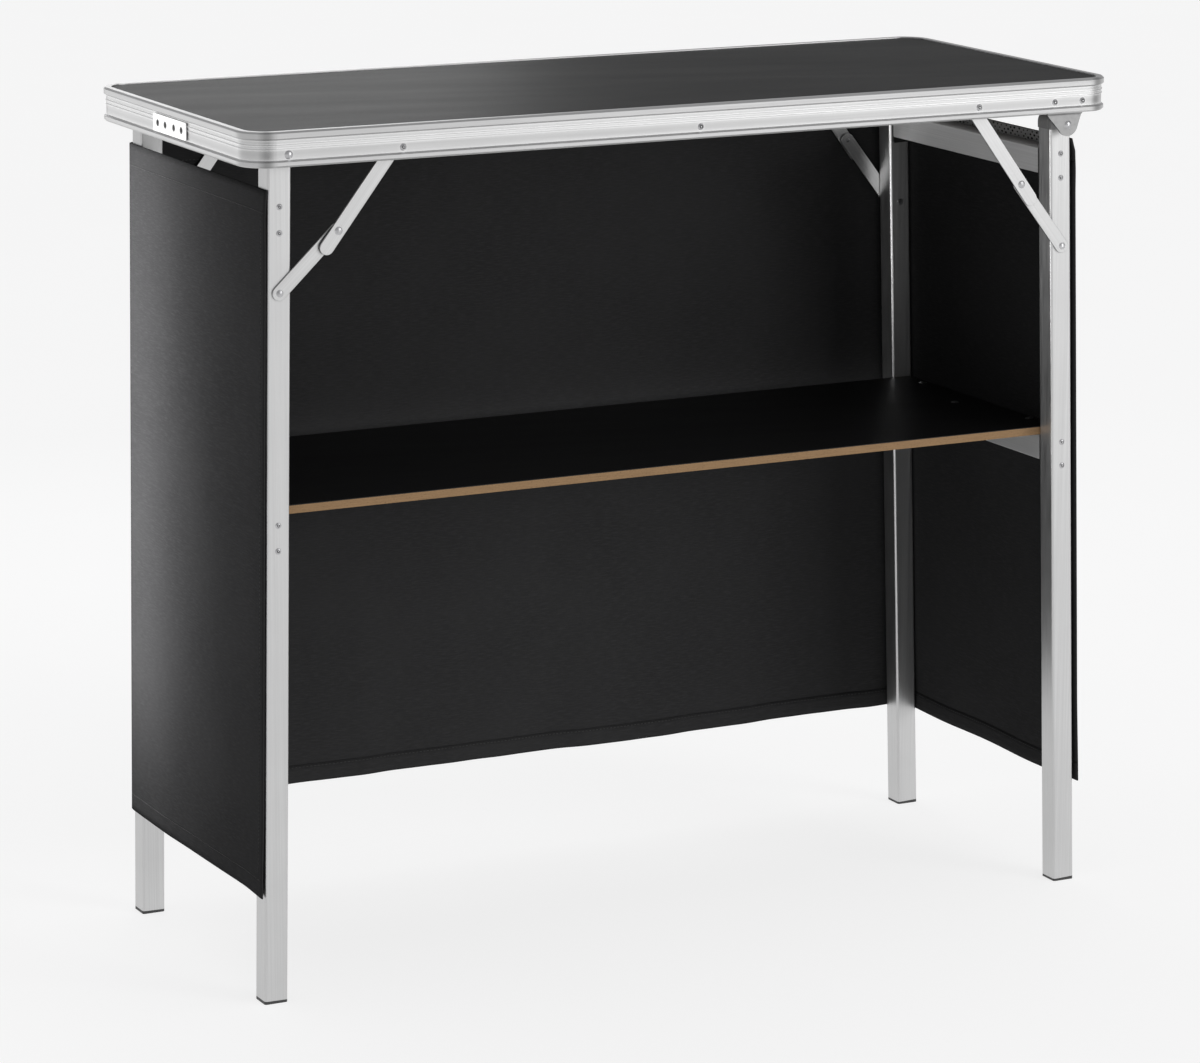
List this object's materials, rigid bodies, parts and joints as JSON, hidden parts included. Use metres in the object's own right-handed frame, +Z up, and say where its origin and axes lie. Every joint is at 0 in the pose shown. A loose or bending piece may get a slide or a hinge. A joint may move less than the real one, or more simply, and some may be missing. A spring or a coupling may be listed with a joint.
{
  "type": "folding counter with shelf and skirt",
  "caption": "Portable folding counter: framed black top, folding square-tube leg frames with locking braces, storage shelf and black fabric skirt",
  "frame": {"origin": "on the floor, under the middle of the table top", "axes": "+X along the counter, +Y towards the closed, skirted long side, +Z up; the open side faces -Y"},
  "size_m": [0.99, 0.41, 0.889],
  "materials": {
    "rim_aluminium": "satin anodised extrusion",
    "tube_aluminium": "satin extruded tube",
    "rail_aluminium": "satin extruded rail",
    "plate_metal": "pressed plate, satin",
    "brace_metal": "pressed flat strip, satin",
    "rivet_steel": "zinc-plated",
    "black_laminate": "fine-textured satin laminate",
    "fibreboard": "raw sawn fibreboard",
    "black_plastic": "moulded",
    "hook_tape": "hook tape",
    "webbing": "woven webbing",
    "skirt_cloth": "woven polyester, matte"
  },
  "bodies": {
    "table_top": {"brace_rim_rivets": "rivet_steel", "brace_rim_spacers": "black_plastic", "cross_stay": "plate_metal", "left_pivot_rivets": "rivet_steel", "left_pivot_spacers": "black_plastic", "right_hinge_plate_front": "plate_metal", "right_hinge_plate_rear": "plate_metal", "right_pivot_rivets": "rivet_steel", "right_pivot_spacers": "black_plastic", "rim_joint_plate": "plate_metal", "rim_joint_rivets": "rivet_steel", "rim_rivets": "rivet_steel", "skirt_back": "skirt_cloth", "skirt_left": "skirt_cloth", "skirt_right": "skirt_cloth", "skirt_tabs": "webbing", "top_board": "fibreboard", "top_laminate": "black_laminate", "top_rim": "rim_aluminium"},
    "left_legs": {"left_brace_rivets": "rivet_steel", "left_foot_front": "black_plastic", "left_foot_rear": "black_plastic", "left_hook_tape": "hook_tape", "left_leg_front": "tube_aluminium", "left_leg_plug_front": "black_plastic", "left_leg_plug_rear": "black_plastic", "left_leg_rear": "tube_aluminium", "left_rail_plugs": "black_plastic", "left_rail_rivets": "rivet_steel", "left_shelf_rail": "rail_aluminium", "left_top_rail": "rail_aluminium"},
    "right_legs": {"right_brace_rivets": "rivet_steel", "right_foot_front": "black_plastic", "right_foot_rear": "black_plastic", "right_hook_tape": "hook_tape", "right_leg_front": "tube_aluminium", "right_leg_plug_front": "black_plastic", "right_leg_plug_rear": "black_plastic", "right_leg_rear": "tube_aluminium", "right_rail_plugs": "black_plastic", "right_rail_rivets": "rivet_steel", "right_shelf_rail": "rail_aluminium", "right_top_rail": "rail_aluminium"},
    "shelf": {"shelf_board": "fibreboard", "shelf_cleats": "fibreboard", "shelf_laminate": "black_laminate", "shelf_pins": "rivet_steel", "shelf_screws": "rivet_steel"},
    "left_upper_link_front": {"left_knuckle_rivet_front": "rivet_steel", "left_upper_link_front": "brace_metal"},
    "left_upper_link_rear": {"left_knuckle_rivet_rear": "rivet_steel", "left_upper_link_rear": "brace_metal"},
    "left_lower_link_front": {"left_lower_link_front": "brace_metal"},
    "left_lower_link_rear": {"left_lower_link_rear": "brace_metal"},
    "right_upper_link_front": {"right_knuckle_rivet_front": "rivet_steel", "right_upper_link_front": "brace_metal"},
    "right_upper_link_rear": {"right_knuckle_rivet_rear": "rivet_steel", "right_upper_link_rear": "brace_metal"},
    "right_lower_link_front": {"right_lower_link_front": "brace_metal"},
    "right_lower_link_rear": {"right_lower_link_rear": "brace_metal"}
  },
  "joints": [
    {"name": "left_leg_fold", "type": "hinge", "parent": "table_top", "child": "left_legs", "pos_m": [-0.4515, 0, 0.866], "axis": [0, -1, 0], "range_deg": [0, 91], "deforming": ["shelf_board", "shelf_cleats", "shelf_laminate", "shelf_pins", "shelf_screws"]},
    {"name": "left_lower_link_front_turn", "type": "hinge", "parent": "left_legs", "child": "left_lower_link_front", "pos_m": [-0.45393, -0.1803, 0.72702], "axis": [0, -1, 0], "range_deg": [-134.36, 0]},
    {"name": "left_upper_link_front_turn", "type": "hinge", "parent": "table_top", "child": "left_upper_link_front", "pos_m": [-0.33, -0.184, 0.866], "axis": [0, -1, 0], "range_deg": [0, 127.66]},
    {"name": "left_lower_link_rear_turn", "type": "hinge", "parent": "left_legs", "child": "left_lower_link_rear", "pos_m": [-0.45393, 0.1803, 0.72702], "axis": [0, -1, 0], "range_deg": [-134.36, 0]},
    {"name": "left_upper_link_rear_turn", "type": "hinge", "parent": "table_top", "child": "left_upper_link_rear", "pos_m": [-0.33, 0.184, 0.866], "axis": [0, -1, 0], "range_deg": [0, 127.66]},
    {"name": "right_leg_fold", "type": "hinge", "parent": "table_top", "child": "right_legs", "pos_m": [0.444, 0, 0.84], "axis": [0, 1, 0], "range_deg": [0, 92], "deforming": ["shelf_board", "shelf_cleats", "shelf_laminate", "shelf_pins", "shelf_screws"]},
    {"name": "right_lower_link_front_turn", "type": "hinge", "parent": "right_legs", "child": "right_lower_link_front", "pos_m": [0.44859, -0.1803, 0.70858], "axis": [0, 1, 0], "range_deg": [-143.96, 0]},
    {"name": "right_upper_link_front_turn", "type": "hinge", "parent": "table_top", "child": "right_upper_link_front", "pos_m": [0.329, -0.184, 0.866], "axis": [0, 1, 0], "range_deg": [0, 112.72]},
    {"name": "right_lower_link_rear_turn", "type": "hinge", "parent": "right_legs", "child": "right_lower_link_rear", "pos_m": [0.44859, 0.1803, 0.70858], "axis": [0, 1, 0], "range_deg": [-143.96, 0]},
    {"name": "right_upper_link_rear_turn", "type": "hinge", "parent": "table_top", "child": "right_upper_link_rear", "pos_m": [0.329, 0.184, 0.866], "axis": [0, 1, 0], "range_deg": [0, 112.72]},
    {"name": "shelf_lift", "type": "slide", "parent": "table_top", "child": "shelf", "axis": [0, 0, 1], "range_m": [0, 0.12]}
  ],
  "couplings": [
    {"joint": "left_lower_link_front_turn", "follows": "left_leg_fold", "ratio": -1.4764},
    {"joint": "left_upper_link_front_turn", "follows": "left_leg_fold", "ratio": 1.4027},
    {"joint": "left_lower_link_rear_turn", "follows": "left_leg_fold", "ratio": -1.4764},
    {"joint": "left_upper_link_rear_turn", "follows": "left_leg_fold", "ratio": 1.4027},
    {"joint": "right_lower_link_front_turn", "follows": "right_leg_fold", "ratio": -1.5647},
    {"joint": "right_upper_link_front_turn", "follows": "right_leg_fold", "ratio": 1.2251},
    {"joint": "right_lower_link_rear_turn", "follows": "right_leg_fold", "ratio": -1.5647},
    {"joint": "right_upper_link_rear_turn", "follows": "right_leg_fold", "ratio": 1.2251}
  ]
}
